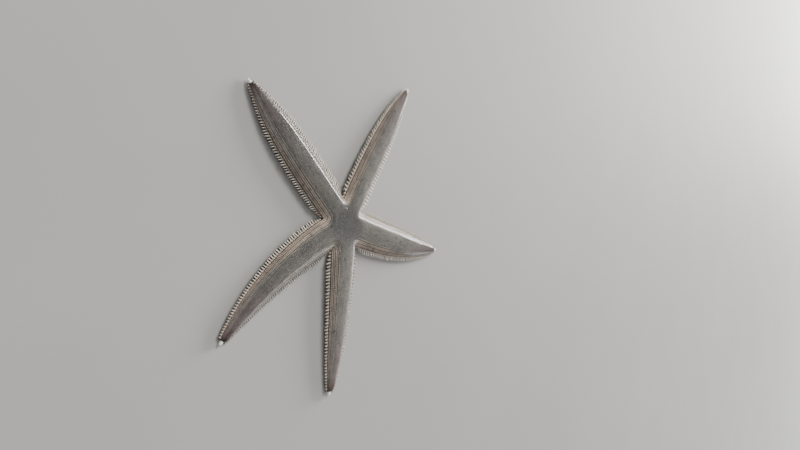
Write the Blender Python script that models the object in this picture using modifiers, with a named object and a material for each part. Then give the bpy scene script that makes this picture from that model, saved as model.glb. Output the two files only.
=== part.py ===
"""A sand star with five long arms, lying flat on its underside with its arms spread, at life size.

Every arm is a loft along an arc that leaves the disc, with a comb of spines on both margins.
Distances along an arm are measured from the middle of the disc.
"""
import math
from collections import namedtuple

import bmesh
import bpy
from mathutils import Matrix, Vector

MM = 0.001

# The five arms, anticlockwise from above: heading of the root and turn from root to tip in degrees,
# reach from the middle of the disc, half width without spines, how far out the arm keeps its width,
# how bluntly it then narrows, and the lift of its tip.
Arm = namedtuple("Arm", "name heading turn reach half_width fullness taper lift")
ARMS = (
    Arm("arm_1", -65.5, 27.0, 103.2 * MM, 9.9 * MM, 2.1, 0.87, 0.3 * MM),
    Arm("arm_2", -3.3, -6.0, 101.6 * MM, 9.8 * MM, 1.9, 0.72, 0.3 * MM),
    Arm("arm_3", 72.9, 13.3, 93.0 * MM, 10.5 * MM, 3.2, 1.05, 1.6 * MM),
    Arm("arm_4", 149.8, -8.5, 110.6 * MM, 8.1 * MM, 4.5, 1.05, 0.3 * MM),
    Arm("arm_5", 223.4, -4.4, 99.8 * MM, 10.3 * MM, 5.2, 1.50, 0.6 * MM),
)
STRAIGHT_ROOT = 14.0 * MM      # an arm is straight up to here, and an arc beyond
FIRST_STATION = 20.5 * MM      # the first section square to the arm
STATIONS = 12                  # square sections on each arm
BODY_HEIGHT = 7.3 * MM
TIP_HEIGHT = 2.3 * MM          # height of an arm where its end plate starts
TIP_HALF_WIDTH = 1.25 * MM
HEIGHT_LAG = 0.8               # an arm loses height a little later than width
LIFT_START = 0.78              # share of the reach where the tip starts to rise
GAP = 0.3 * MM                 # clearance between neighbouring pieces

# An arm's section, from the crest down to the groove under it: across as a share of the half width
# and up as a share of the height.
CREST = (0.0, 1.0)
UPPER = ((0.30, 0.985), (0.58, 0.90), (0.82, 0.68))
MARGIN = ((1.0, 0.43), (1.0, 0.27))
SOLE = ((0.90, 0.0), (0.36, 0.0))
GROOVE = (0.0, 0.24)

# The comb of spines on a margin
SPINE_PITCH = 1.62 * MM
SPINE_LENGTH = 3.6 * MM
SPINE_WIDTH_SHARE = 0.56       # width of a spine's root, as a share of the pitch
SPINE_TIP_WIDTH = 0.32 * MM
SPINE_SHORTENING = 0.7         # share of its length that a spine loses towards the arm's tip
SPINE_RISE = 0.22              # how much a spine points up, as a share of its length
SPINE_LEAN = 0.12              # how much it leans towards the arm's tip
NOTCH_ROOM = 0.42              # longest spine near a corner, as a share of its distance from it
SHORTEST_SPINE = 0.6 * MM      # nearer the corner than this allows, the margin is bare

# The end plate of an arm
PLATE_LENGTH = 2.3 * MM
PLATE_SIDES = 12
PLATE_RINGS = 8

# The disc between the arms
CROWN_SHARE = 0.5              # where the top of the disc levels out, as a share of its radius
CROWN_HEIGHT = 7.2 * MM
CENTRE_HEIGHT = 6.9 * MM
MOUTH_RIM_RADIUS = 5.4 * MM
MOUTH_ROOF_RADIUS = 4.5 * MM
MOUTH_ROOF_HEIGHT = 2.5 * MM

# The mouth: a soft ring around a small opening
MOUTH_RADIUS = 3.8 * MM
MOUTH_OPENING = 0.9 * MM
MOUTH_BOTTOM = 0.9 * MM
MOUTH_DIMPLE = 0.7 * MM

# The sieve plate, a small button set in a socket in the disc's top, between two arms
SIEVE_RADIUS = 1.0 * MM
SIEVE_FROM_CENTRE = 9.0 * MM
SIEVE_SOCKET_FLOOR = 4.9 * MM
SIEVE_TOP = 6.4 * MM
SIEVE_BETWEEN = (3, 4)         # the arms on either side of it, counted from 0

# Colour, roughness and metallic value of each kind of piece
FINISHES = {
    "disc": ((0.115, 0.110, 0.098), 0.32, 0.0),
    "arm": ((0.150, 0.122, 0.105), 0.34, 0.0),
    "arm_tip": ((0.620, 0.570, 0.500), 0.40, 0.0),
    "mouth": ((0.560, 0.480, 0.380), 0.45, 0.0),
    "sieve": ((0.300, 0.270, 0.235), 0.55, 0.0),
}


def clear_scene():
    for thing in list(bpy.data.objects):
        bpy.data.objects.remove(thing, do_unlink=True)


def new_collection(name):
    collection = bpy.data.collections.new(name)
    bpy.context.scene.collection.children.link(collection)
    return collection


def finish_material(name, kind):
    """Material of one piece, in the finish of its kind."""
    colour, roughness, metallic = FINISHES[kind]
    material = bpy.data.materials.new(name)
    material.use_nodes = True
    shader = material.node_tree.nodes["Principled BSDF"]
    shader.inputs["Base Color"].default_value = (*colour, 1.0)
    shader.inputs["Roughness"].default_value = roughness
    shader.inputs["Metallic"].default_value = metallic
    material.diffuse_color = (*colour, 1.0)
    return material


def add_piece(name, kind, body, collection, crease_angle=40.0):
    """Turn a bmesh into a named object with its own material, shaded smooth."""
    bmesh.ops.recalc_face_normals(body, faces=body.faces)
    mesh = bpy.data.meshes.new(name)
    body.to_mesh(mesh)
    body.free()
    piece = bpy.data.objects.new(name, mesh)
    collection.objects.link(piece)
    mesh.materials.append(finish_material(name, kind))
    mesh.shade_smooth()
    mesh.set_sharp_from_angle(angle=math.radians(crease_angle))
    return piece


# ---------------------------------------------------------------- the arms

def direction(degrees):
    angle = math.radians(degrees)
    return Vector((math.cos(angle), math.sin(angle), 0.0))


def left_of(vector):
    return Vector((-vector.y, vector.x, 0.0))


def axis_point(arm, distance):
    """Point on an arm's axis, and the direction of the arm there."""
    ahead = direction(arm.heading)
    side = left_of(ahead)
    run = distance - STRAIGHT_ROOT
    if run <= 0.0:
        return ahead * distance, ahead
    bend = math.radians(arm.turn) / (arm.reach - STRAIGHT_ROOT)
    angle = bend * run
    point = ahead * (STRAIGHT_ROOT + math.sin(angle) / bend) + side * ((1.0 - math.cos(angle)) / bend)
    return point, ahead * math.cos(angle) + side * math.sin(angle)


def width_share(arm, distance):
    """1 at the root and 0 at the arm's very end."""
    share = min(1.0, distance / arm.reach)
    return (1.0 - share ** arm.fullness) ** arm.taper


def half_width(arm, distance):
    return TIP_HALF_WIDTH + (arm.half_width - TIP_HALF_WIDTH) * width_share(arm, distance)


def height(arm, distance):
    return TIP_HEIGHT + (BODY_HEIGHT - TIP_HEIGHT) * width_share(arm, distance) ** HEIGHT_LAG


def lift(arm, distance):
    share = max(0.0, (distance / arm.reach - LIFT_START) / (1.0 - LIFT_START))
    return arm.lift * share * share * (3.0 - 2.0 * share)


def notch(first, second):
    """Corner on the ground plan where the margins of two neighbouring arms meet."""
    one, two = direction(first.heading), direction(second.heading)
    left, right = left_of(one), -left_of(two)
    across = left.x * right.y - left.y * right.x
    x = (first.half_width * right.y - second.half_width * left.y) / across
    y = (second.half_width * left.x - first.half_width * right.x) / across
    return Vector((x, y, 0.0))


def notches_beside(index):
    """The corners to the right and the left of an arm, seen along it from the disc."""
    arm = ARMS[index]
    after = ARMS[(index + 1) % len(ARMS)]
    return notch(ARMS[index - 1], arm), notch(arm, after)


def section_outline():
    """The section's points in order: over the top from the left margin to the right one, then back."""
    top = [(across, up) for across, up in reversed(UPPER)]
    left_half = [MARGIN[0], *top]
    right_half = [(-across, up) for across, up in reversed(left_half)]
    sole_right = [(-across, up) for across, up in (MARGIN[1], *SOLE)]
    sole_left = [(across, up) for across, up in reversed((MARGIN[1], *SOLE))]
    return [*left_half, CREST, *right_half, *sole_right, GROOVE, *sole_left]


def square_ring(arm, distance):
    """Section square to the arm's axis."""
    point, ahead = axis_point(arm, distance)
    side = left_of(ahead)
    wide, tall, rise = half_width(arm, distance), height(arm, distance), lift(arm, distance)
    return [point + side * (across * wide) + Vector((0.0, 0.0, up * tall + rise))
            for across, up in section_outline()]


def root_ring(index, clearance):
    """Section on the line between the two corners beside an arm, moved out by a clearance."""
    arm = ARMS[index]
    right, left = notches_beside(index)
    middle, half = (left + right) / 2.0, (left - right) / 2.0
    out = direction(arm.heading) * clearance
    return [middle + half * across + out + Vector((0.0, 0.0, up * BODY_HEIGHT))
            for across, up in section_outline()]


def spine_faces(body, upper, lower, outward, ahead, length, corner):
    """Split one stretch of margin into spines with gaps between them; return its new edge points.

    upper and lower are the stretch's end vertices, and corner is where the margin meets the next
    arm's. The points along both edges are returned, so that the faces above and below share them.
    """
    stretch = upper[1].co - upper[0].co
    count = max(1, round(stretch.length / SPINE_PITCH))
    pitch = 1.0 / count
    inset = pitch * (1.0 - SPINE_WIDTH_SHARE) / 2.0
    shares = [share for i in range(count) for share in (i * pitch + inset, (i + 1) * pitch - inset)]
    top = [body.verts.new(upper[0].co.lerp(upper[1].co, share)) for share in shares]
    bottom = [body.verts.new(lower[0].co.lerp(lower[1].co, share)) for share in shares]
    top_line, bottom_line = [upper[0], *top, upper[1]], [lower[0], *bottom, lower[1]]
    half_tip = stretch.normalized() * (SPINE_TIP_WIDTH / 2.0)
    for i in range(len(top_line) - 1):
        corners = (top_line[i], top_line[i + 1], bottom_line[i + 1], bottom_line[i])
        root = sum((vertex.co for vertex in corners), Vector()) / 4.0
        reach = min(length, (root.xy - corner.xy).length * NOTCH_ROOM)
        if i % 2 == 0 or reach < SHORTEST_SPINE:
            body.faces.new(corners)
            continue
        point = root + (outward + Vector((0.0, 0.0, SPINE_RISE)) + ahead * SPINE_LEAN) * reach
        near, far = body.verts.new(point - half_tip), body.verts.new(point + half_tip)
        body.faces.new((corners[0], corners[1], far, near))
        body.faces.new((corners[3], corners[2], far, near))
        body.faces.new((corners[0], corners[3], near))
        body.faces.new((corners[1], corners[2], far))
    return top_line, bottom_line


def build_arm(index, collection):
    arm = ARMS[index]
    last = arm.reach - PLATE_LENGTH
    step = (last - FIRST_STATION) / (STATIONS - 1)
    distances = [FIRST_STATION + i * step for i in range(STATIONS)]
    rings = [root_ring(index, GAP)] + [square_ring(arm, distance) for distance in distances]
    body = bmesh.new()
    loops = [[body.verts.new(point) for point in ring] for ring in rings]
    size = len(loops[0])
    upper_left, upper_right = 0, 2 * len(UPPER) + 2
    lower_right, lower_left = upper_right + 1, size - 1
    right_corner, left_corner = notches_beside(index)
    for i, (near, far) in enumerate(zip(loops, loops[1:])):
        distance = (FIRST_STATION, *distances)[i]
        ahead = axis_point(arm, distance)[1]
        length = SPINE_LENGTH * (1.0 - SPINE_SHORTENING * (1.0 - width_share(arm, distance)))
        side = left_of(ahead)
        left = spine_faces(body, (near[upper_left], far[upper_left]), (near[lower_left], far[lower_left]),
                           side, ahead, length, left_corner)
        right = spine_faces(body, (near[upper_right], far[upper_right]),
                            (near[lower_right], far[lower_right]), -side, ahead, length, right_corner)
        # the faces next to the margins share the points of the spines
        body.faces.new([*left[0], far[upper_left + 1], near[upper_left + 1]])
        body.faces.new([*right[0], far[upper_right - 1], near[upper_right - 1]])
        body.faces.new([*right[1], far[lower_right + 1], near[lower_right + 1]])
        body.faces.new([*left[1], far[lower_left - 1], near[lower_left - 1]])
        plain = [*range(upper_left + 1, upper_right - 1), *range(lower_right + 1, lower_left - 1)]
        for j in plain:
            body.faces.new((near[j], near[j + 1], far[j + 1], far[j]))
    body.faces.new(loops[0])
    body.faces.new(loops[-1])
    return add_piece(arm.name, "arm", body, collection)


def build_end_plate(index, collection):
    """The blunt little plate at an arm's end: the front of an egg shape, cut flat at the back."""
    arm = ARMS[index]
    start = arm.reach - PLATE_LENGTH
    point, ahead = axis_point(arm, start)
    wide, tall, rise = half_width(arm, start), height(arm, start), lift(arm, start)
    body = bmesh.new()
    bmesh.ops.create_uvsphere(body, u_segments=PLATE_SIDES, v_segments=PLATE_RINGS, radius=1.0)
    everything = [*body.verts, *body.edges, *body.faces]
    cut = bmesh.ops.bisect_plane(body, geom=everything, plane_co=(GAP / PLATE_LENGTH, 0.0, 0.0),
                                 plane_no=(1.0, 0.0, 0.0), clear_inner=True)
    rim = [piece for piece in cut["geom_cut"] if isinstance(piece, bmesh.types.BMEdge)]
    bmesh.ops.edgeloop_fill(body, edges=rim)
    bmesh.ops.scale(body, vec=(PLATE_LENGTH, wide, tall / 2.0), verts=body.verts)
    turn = Matrix.Rotation(math.atan2(ahead.y, ahead.x), 4, "Z")
    place = Matrix.Translation(point + Vector((0.0, 0.0, tall / 2.0 + rise)))
    bmesh.ops.transform(body, matrix=place @ turn, verts=body.verts)
    return add_piece(arm.name + "_tip", "arm_tip", body, collection)


# ---------------------------------------------------------------- the disc

def disc_sides(body):
    """One section for each arm, on the lines between the corners, which neighbours share."""
    corners = []
    for index in range(len(ARMS)):
        left = notches_beside(index)[1]
        corners.append([body.verts.new(left + Vector((0.0, 0.0, up * BODY_HEIGHT))) for _, up in MARGIN])
    sides = []
    for index in range(len(ARMS)):
        ring = root_ring(index, 0.0)
        upper_right = 2 * len(UPPER) + 2
        taken = {0: corners[index][0], len(ring) - 1: corners[index][1],
                 upper_right: corners[index - 1][0], upper_right + 1: corners[index - 1][1]}
        sides.append([taken.get(j) or body.verts.new(point) for j, point in enumerate(ring)])
    return sides


def cover_disc_top(body, sides):
    """From the sections up to a level crown with a slight dip in the middle."""
    upper_right = 2 * len(UPPER) + 2
    outer = [vertex for side in sides for vertex in reversed(side[1:upper_right + 1])]
    crown = [body.verts.new((v.co.x * CROWN_SHARE, v.co.y * CROWN_SHARE, CROWN_HEIGHT)) for v in outer]
    centre = body.verts.new((0.0, 0.0, CENTRE_HEIGHT))
    for j in range(len(outer)):
        after = (j + 1) % len(outer)
        body.faces.new((outer[j], outer[after], crown[after], crown[j]))
        body.faces.new((crown[j], crown[after], centre))


def cover_disc_underside(body, sides):
    """Five flat pads between the arms' grooves, which run into a recess for the mouth."""
    lower_right = 2 * len(UPPER) + 3
    rims, roofs = [], []
    for side in sides:
        spots = [side[lower_right + 2].co, side[lower_right + 3].co, side[lower_right + 4].co]
        headings = [Vector((spot.x, spot.y, 0.0)).normalized() for spot in spots]
        headings[0] = (headings[0] + headings[1] * 0.35).normalized()
        headings[2] = (headings[2] + headings[1] * 0.35).normalized()
        heights = (0.0, MOUTH_ROOF_HEIGHT * 0.8, 0.0)
        rims.append([body.verts.new(heading * MOUTH_RIM_RADIUS + Vector((0.0, 0.0, up)))
                     for heading, up in zip(headings, heights)])
        roofs.append([body.verts.new(heading * MOUTH_ROOF_RADIUS + Vector((0.0, 0.0, MOUTH_ROOF_HEIGHT)))
                      for heading in headings])
    for k, side in enumerate(sides):
        before, rim, roof = sides[k - 1], rims[k], roofs[k]
        sole_outer, sole_inner, groove = side[lower_right + 1], side[lower_right + 2], side[lower_right + 3]
        far_inner = side[lower_right + 4]
        body.faces.new((sole_inner, groove, rim[1], rim[0]))
        body.faces.new((groove, far_inner, rim[2], rim[1]))
        for j in (0, 1):
            body.faces.new((rim[j], rim[j + 1], roof[j + 1], roof[j]))
        before_outer, before_inner = before[-2], before[-3]
        body.faces.new((before_outer, sole_outer, sole_inner, rim[0], rims[k - 1][2], before_inner))
        body.faces.new((before_outer, sole_outer, side[lower_right]))
        body.faces.new((rims[k - 1][2], rim[0], roof[0], roofs[k - 1][2]))
    body.faces.new([vertex for roof in roofs for vertex in roof])


def sieve_spot():
    """Middle of the sieve plate on the ground plan."""
    first, second = (ARMS[k] for k in SIEVE_BETWEEN)
    between = direction(first.heading) + direction(second.heading)
    return between.normalized() * SIEVE_FROM_CENTRE


def build_disc(collection, cutters):
    body = bmesh.new()
    sides = disc_sides(body)
    for side in sides:
        body.faces.new(side)
    cover_disc_top(body, sides)
    cover_disc_underside(body, sides)
    disc = add_piece("disc", "disc", body, collection)

    tool = bmesh.new()
    depth = BODY_HEIGHT * 1.5 - SIEVE_SOCKET_FLOOR
    bmesh.ops.create_cone(tool, cap_ends=True, segments=16, radius1=SIEVE_RADIUS + GAP,
                          radius2=SIEVE_RADIUS + GAP, depth=depth)
    middle = sieve_spot() + Vector((0.0, 0.0, SIEVE_SOCKET_FLOOR + depth / 2.0))
    bmesh.ops.translate(tool, vec=middle, verts=tool.verts)
    socket = add_piece("sieve_socket", "sieve", tool, cutters)
    socket.hide_render = True
    socket.display_type = "WIRE"
    cut = disc.modifiers.new("sieve socket", "BOOLEAN")
    cut.operation = "DIFFERENCE"
    cut.object = socket
    return disc


def build_sieve_plate(collection):
    """A low round button with a domed top."""
    body = bmesh.new()
    bmesh.ops.create_uvsphere(body, u_segments=16, v_segments=12, radius=1.0)
    everything = [*body.verts, *body.edges, *body.faces]
    cut = bmesh.ops.bisect_plane(body, geom=everything, plane_co=(0.0, 0.0, 0.0),
                                 plane_no=(0.0, 0.0, 1.0), clear_inner=True)
    rim = [piece for piece in cut["geom_cut"] if isinstance(piece, bmesh.types.BMEdge)]
    base = bmesh.ops.edgeloop_fill(body, edges=rim)["faces"]
    foot = SIEVE_SOCKET_FLOOR + GAP
    wall = (SIEVE_TOP - foot) / 2.0
    bmesh.ops.scale(body, vec=(SIEVE_RADIUS, SIEVE_RADIUS, SIEVE_TOP - foot - wall), verts=body.verts)
    moved = bmesh.ops.extrude_face_region(body, geom=base)["geom"]
    bmesh.ops.delete(body, geom=base, context="FACES_ONLY")
    bottom = [piece for piece in moved if isinstance(piece, bmesh.types.BMVert)]
    bmesh.ops.translate(body, vec=(0.0, 0.0, -wall), verts=bottom)
    bmesh.ops.translate(body, vec=sieve_spot() + Vector((0.0, 0.0, foot + wall)), verts=body.verts)
    return add_piece("madreporite", "sieve", body, collection)


def build_mouth(collection):
    """A ring of soft skin that narrows to the mouth opening, turned about the disc's axis."""
    top = MOUTH_ROOF_HEIGHT - GAP
    profile = ((0.0, top), (MOUTH_RADIUS, top), (MOUTH_RADIUS, MOUTH_BOTTOM + MOUTH_DIMPLE * 0.4),
               (MOUTH_RADIUS * 0.72, MOUTH_BOTTOM), (MOUTH_OPENING * 1.5, MOUTH_BOTTOM + MOUTH_DIMPLE * 0.3),
               (MOUTH_OPENING, MOUTH_BOTTOM + MOUTH_DIMPLE), (0.0, MOUTH_BOTTOM + MOUTH_DIMPLE))
    mesh = bpy.data.meshes.new("mouth")
    edges = [(j, j + 1) for j in range(len(profile) - 1)]
    mesh.from_pydata([(radius, 0.0, up) for radius, up in profile], edges, [])
    mouth = bpy.data.objects.new("mouth", mesh)
    collection.objects.link(mouth)
    mesh.materials.append(finish_material("mouth", "mouth"))
    turn = mouth.modifiers.new("turn", "SCREW")
    turn.steps = turn.render_steps = 20
    turn.use_merge_vertices = True
    turn.merge_threshold = 0.00001
    turn.use_smooth_shade = True
    return mouth


# ---------------------------------------------------------------- the whole animal

def centre_on_box(pieces, followers):
    """Move everything so that the middle of the whole box stands over the origin."""
    corners = [piece.matrix_world @ vertex.co for piece in pieces for vertex in piece.data.vertices]
    middle = [(min(c[axis] for c in corners) + max(c[axis] for c in corners)) / 2.0 for axis in (0, 1)]
    for piece in (*pieces, *followers):
        piece.location.x -= middle[0]
        piece.location.y -= middle[1]


def main():
    clear_scene()
    star = new_collection("sand_star")
    cutters = new_collection("cutters")
    pieces = [build_disc(star, cutters), build_mouth(star), build_sieve_plate(star)]
    for index in range(len(ARMS)):
        pieces.append(build_arm(index, star))
        pieces.append(build_end_plate(index, star))
    centre_on_box(pieces, list(cutters.objects))


main()
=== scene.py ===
import math
from collections import namedtuple

import bpy
import numpy as np
from mathutils import Matrix, Vector


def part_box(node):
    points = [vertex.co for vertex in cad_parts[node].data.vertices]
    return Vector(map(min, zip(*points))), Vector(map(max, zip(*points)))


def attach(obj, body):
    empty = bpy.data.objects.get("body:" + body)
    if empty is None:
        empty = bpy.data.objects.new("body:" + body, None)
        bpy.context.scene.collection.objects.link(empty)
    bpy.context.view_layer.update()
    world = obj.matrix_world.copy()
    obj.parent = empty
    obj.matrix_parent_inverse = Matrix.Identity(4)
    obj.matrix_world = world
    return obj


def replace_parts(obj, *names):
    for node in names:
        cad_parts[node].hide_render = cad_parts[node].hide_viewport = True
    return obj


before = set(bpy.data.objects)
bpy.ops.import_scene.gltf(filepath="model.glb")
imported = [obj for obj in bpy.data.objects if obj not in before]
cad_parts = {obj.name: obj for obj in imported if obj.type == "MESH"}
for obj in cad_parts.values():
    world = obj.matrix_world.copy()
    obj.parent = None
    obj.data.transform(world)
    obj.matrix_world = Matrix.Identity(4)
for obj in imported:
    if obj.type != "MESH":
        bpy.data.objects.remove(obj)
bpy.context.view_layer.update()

MM = 0.001
BODY = "root"

# ---------------------------------------------------------------- the animal's plan, as in the solids

STRAIGHT_ROOT = 14.0 * MM      # an arm is straight up to here, and an arc beyond
FIRST_STATION = 20.5 * MM      # the first section square to the arm
BODY_HEIGHT = 7.3 * MM
TIP_HEIGHT = 2.3 * MM          # height of an arm where its end plate starts
TIP_HALF_WIDTH = 1.25 * MM
HEIGHT_LAG = 0.8               # an arm loses height a little later than width
LIFT_START = 0.78              # share of the reach where the tip starts to rise
PLATE_LENGTH = 2.3 * MM        # end plate of an arm
EDGE_TOP = 0.43                # top and bottom of the upright margin, as shares of the height
EDGE_BOTTOM = 0.27
CROWN_POWER = 3.0              # how fast the top levels out from the margin to the crest
SOLE_ROUNDING = 0.10           # rounding under the margin, as a share of the half width
GROOVE_WIDTH = 0.36            # half width and depth of the groove under an arm, as shares
GROOVE_DEPTH = 0.24
MOUTH_RIM_RADIUS = 5.4 * MM
MOUTH_ROOF_HEIGHT = 2.5 * MM
DISC_DIP = 0.4 * MM            # the middle of the disc lies a little lower
DISC_DIP_REACH = 6.0 * MM
BLEND_REACH = 5.0 * MM         # how far an arm's width and height reach into the disc
MAX_REACH = 112.0 * MM
END_ROUNDING = 2.8 * MM        # an arm gets narrower and lower over this stretch before its end plate
END_NARROWING = 0.72
HEIGHT_TO_HALF_WIDTH = 0.73    # of an arm where it is widest
COAT_DEPTH = 0.35 * MM         # the skin lies this deep inside the solids


def unit(degrees):
    angle = math.radians(degrees)
    return np.array((math.cos(angle), math.sin(angle)))


def left_of(vectors):
    return np.stack((-vectors[..., 1], vectors[..., 0]), axis=-1)


def distances(points, place=0.0):
    return np.linalg.norm(points - place, axis=1)


def cross(first, second):
    return first[..., 0] * second[..., 1] - first[..., 1] * second[..., 0]


class Arm:
    """One arm on the ground plan, with its width and height along its axis."""

    def __init__(self, name, heading, turn, reach, half_width, fullness, taper, lift):
        self.name, self.heading, self.reach, self.half_width = name, heading, reach, half_width
        self.fullness, self.taper, self.lift = fullness, taper, lift
        self.ahead = unit(heading)
        self.side = left_of(self.ahead)
        self.bend = math.radians(turn) / (reach - STRAIGHT_ROOT)
        self.end = reach - PLATE_LENGTH
        self.corners = {}          # the notches on the left (1) and the right (-1)
        self.corner_along = {}

    def axis(self, along):
        """Points on the axis, and the direction of the arm there."""
        along = np.asarray(along, float)[..., None]
        angle = self.bend * np.maximum(along - STRAIGHT_ROOT, 0.0)
        point = (self.ahead * (np.minimum(along, STRAIGHT_ROOT) + np.sin(angle) / self.bend)
                 + self.side * ((1.0 - np.cos(angle)) / self.bend))
        return point, self.ahead * np.cos(angle) + self.side * np.sin(angle)

    def place(self, along, across):
        point, ahead = self.axis(along)
        return point + left_of(ahead) * np.asarray(across, float)[..., None]

    def locate(self, points):
        """How far along and across the arm points lie, with left positive."""
        x, y = points @ self.ahead, points @ self.side
        sign, radius = math.copysign(1.0, self.bend), 1.0 / abs(self.bend)
        past, centre = x - STRAIGHT_ROOT, 1.0 / self.bend - y
        angle = np.arctan2(past, sign * centre)
        round_the_bend = past > 0.0
        along = np.where(round_the_bend, STRAIGHT_ROOT + angle * radius, x)
        across = np.where(round_the_bend, sign * (radius - np.hypot(past, centre)), y)
        return along, across

    def share(self, along):
        """1 at the root and 0 at the arm's very end."""
        return (1.0 - np.clip(along / self.reach, 0.0, 1.0) ** self.fullness) ** self.taper

    def rounding(self, along):
        past = np.clip((along - self.end) / END_ROUNDING + 1.0, 0.0, 1.0)
        return np.sqrt(1.0 - END_NARROWING * past * past)

    def half(self, along):
        wide = TIP_HALF_WIDTH + (self.half_width - TIP_HALF_WIDTH) * self.share(along)
        return wide * self.rounding(along)

    def high(self, along):
        tall = TIP_HEIGHT + (BODY_HEIGHT - TIP_HEIGHT) * self.share(along) ** HEIGHT_LAG
        return tall * self.rounding(along)

    def raised(self, along):
        rise = np.clip((along / self.reach - LIFT_START) / (1.0 - LIFT_START), 0.0, 1.0)
        return self.lift * rise * rise * (3.0 - 2.0 * rise)

    def margin(self, along, side):
        """Half width on one side; the margin is straight from the notch to the first station."""
        corner = self.corner_along[side]
        slope = (self.half(FIRST_STATION) - self.half_width) / (FIRST_STATION - corner)
        return np.where(along < FIRST_STATION, self.half_width + slope * (along - corner), self.half(along))


ARMS = (
    Arm("arm_1", -65.5, 27.0, 103.2 * MM, 9.9 * MM, 2.1, 0.87, 0.3 * MM),
    Arm("arm_2", -3.3, -6.0, 101.6 * MM, 9.8 * MM, 1.9, 0.72, 0.3 * MM),
    Arm("arm_3", 72.9, 13.3, 93.0 * MM, 10.5 * MM, 3.2, 1.05, 1.6 * MM),
    Arm("arm_4", 149.8, -8.5, 110.6 * MM, 8.1 * MM, 4.5, 1.05, 0.3 * MM),
    Arm("arm_5", 223.4, -4.4, 99.8 * MM, 10.3 * MM, 5.2, 1.50, 0.6 * MM),
)


def set_notches():
    """The corner where the margins of two neighbouring arms meet, for both of them."""
    for index, arm in enumerate(ARMS):
        after = ARMS[(index + 1) % len(ARMS)]
        left, right = arm.side, -after.side
        across = cross(left, right)
        corner = np.array(((arm.half_width * right[1] - after.half_width * left[1]) / across,
                           (after.half_width * left[0] - arm.half_width * right[0]) / across))
        arm.corners[1] = after.corners[-1] = corner
        arm.corner_along[1] = corner @ arm.ahead
        after.corner_along[-1] = corner @ after.ahead


set_notches()

mouth_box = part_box("mouth")
sieve_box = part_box("madreporite")
CENTRE = np.array((mouth_box[0] + mouth_box[1])[:2]) / 2.0
SIEVE = np.array((sieve_box[0] + sieve_box[1])[:2]) / 2.0 - CENTRE
SIEVE_PIT_DEPTH = 0.30 * MM
SIEVE_PIT_RADIUS = 1.10 * MM

# How pale each arm is beside the others, and the rows of paxillae on its right and on its left; and
# how clear the stripes are on its right and on its left. On each arm's far side, turned from the
# camera, the weak stripes are painted sheen: the rows fade there to plain grey. On arm_5's near side
# they are its own fainter seams.
ARM_TONES = (0.84, 1.25, 0.96, 1.12, 0.75)
ROW_TONES = ((1.42, 1.10), (0.83, 1.06), (1.00, 1.10), (1.22, 1.02), (1.20, 1.33))
STRIPE_STRENGTHS = ((1.0, 0.20), (1.0, 0.30), (1.0, 0.5), (0.5, 1.0), (0.5, 0.72))
ROOT_SHADES = ((0.0, 0.0), (0.24, 0.0), (0.0, 0.0), (0.0, 0.0), (0.0, 0.0))   # painted shade: rows darker near the disc, where arm_2 lies in the shade of arm_1
ROOT_REACH = 34.0 * MM
COMB_SHADES = ((0.0, 0.58), (0.12, 0.42), (0.22, 0.0), (0.15, 0.0), (0.0, 0.42))   # painted shade: how much darker the plates and spines are on each side
NOTCH_HIGHLIGHT = 0.65              # painted highlight: the rows are paler where they turn round a notch
NOTCH_HIGHLIGHT_REACH = 4.5 * MM

Spot = namedtuple("Spot", "arm along across inside")


def locate(points):
    """The arm that each point belongs to, where it lies on it, and how far inside the outline."""
    arm = np.zeros(len(points), int)
    along, across, inside = (np.zeros(len(points)) for _ in range(3))
    for index, one in enumerate(ARMS):
        own = (cross(one.corners[-1], points) >= 0.0) & (cross(points, one.corners[1]) > 0.0)
        s, c = one.locate(points)
        gaps = [np.where(s < one.corner_along[side], distances(points, one.corners[side]),
                         one.margin(s, side) - side * c) for side in (1, -1)]
        arm[own], along[own], across[own] = index, s[own], c[own]
        inside[own] = np.minimum(*gaps)[own]
    return Spot(arm, along, across, np.maximum(inside, 0.0))


def blended_over_arms(points, values_of):
    """Values that each arm gives round about; an arm counts for less the farther its axis is."""
    sums, total = 0.0, 0.0
    for index, arm in enumerate(ARMS):
        s, c = arm.locate(points)
        weight = np.exp(-np.hypot(c, np.minimum(s, 0.0)) / BLEND_REACH)
        sums = sums + weight * np.stack(values_of(index, s, c))
        total = total + weight
    return sums / total


def blended(points):
    """Half width, height and lift."""
    def values(index, s, _):
        arm, s = ARMS[index], np.maximum(s, 0.0)
        return arm.half(s), arm.high(s), arm.raised(s)
    return blended_over_arms(points, values)


def tone_marks(points):
    """Tones and strength of stripes; the arms' own run into each other on the disc."""
    def values(index, s, c):
        # painted shade from ROOT_SHADES darkens the rows near the disc
        at_root = np.exp(-(s / ROOT_REACH) ** 4)
        right, left = (row * (1.0 - shade * at_root)
                       for row, shade in zip(ROW_TONES[index], ROOT_SHADES[index]))
        stripes = STRIPE_STRENGTHS[index]
        return (np.full(len(points), ARM_TONES[index]), np.where(c > 0.0, left, right),
                np.where(c > 0.0, stripes[1], stripes[0]))
    tone, row_tone, stripe = blended_over_arms(points, values)
    # painted highlight: the rows grow paler round each notch
    for arm in ARMS:
        near = distances(points, arm.corners[1]) / NOTCH_HIGHLIGHT_REACH
        row_tone = row_tone * (1.0 + NOTCH_HIGHLIGHT * np.exp(-near ** 2))
    return {"tone": tone, "row_tone": row_tone, "stripe": stripe}


def crown(share):
    """Height of the top, as a share, from the margin (0) to the crest (1)."""
    return EDGE_TOP + (1.0 - EDGE_TOP) * (1.0 - (1.0 - share) ** CROWN_POWER)


def top_height(points):
    wide, tall, raised = blended(points)
    up = tall * crown(np.clip(locate(points).inside / wide, 0.0, 1.0)) + raised
    up -= DISC_DIP * np.exp(-(distances(points) / DISC_DIP_REACH) ** 2)
    near_sieve = distances(points, SIEVE) / SIEVE_PIT_RADIUS
    return up - SIEVE_PIT_DEPTH * np.exp(-near_sieve ** 4)


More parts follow.
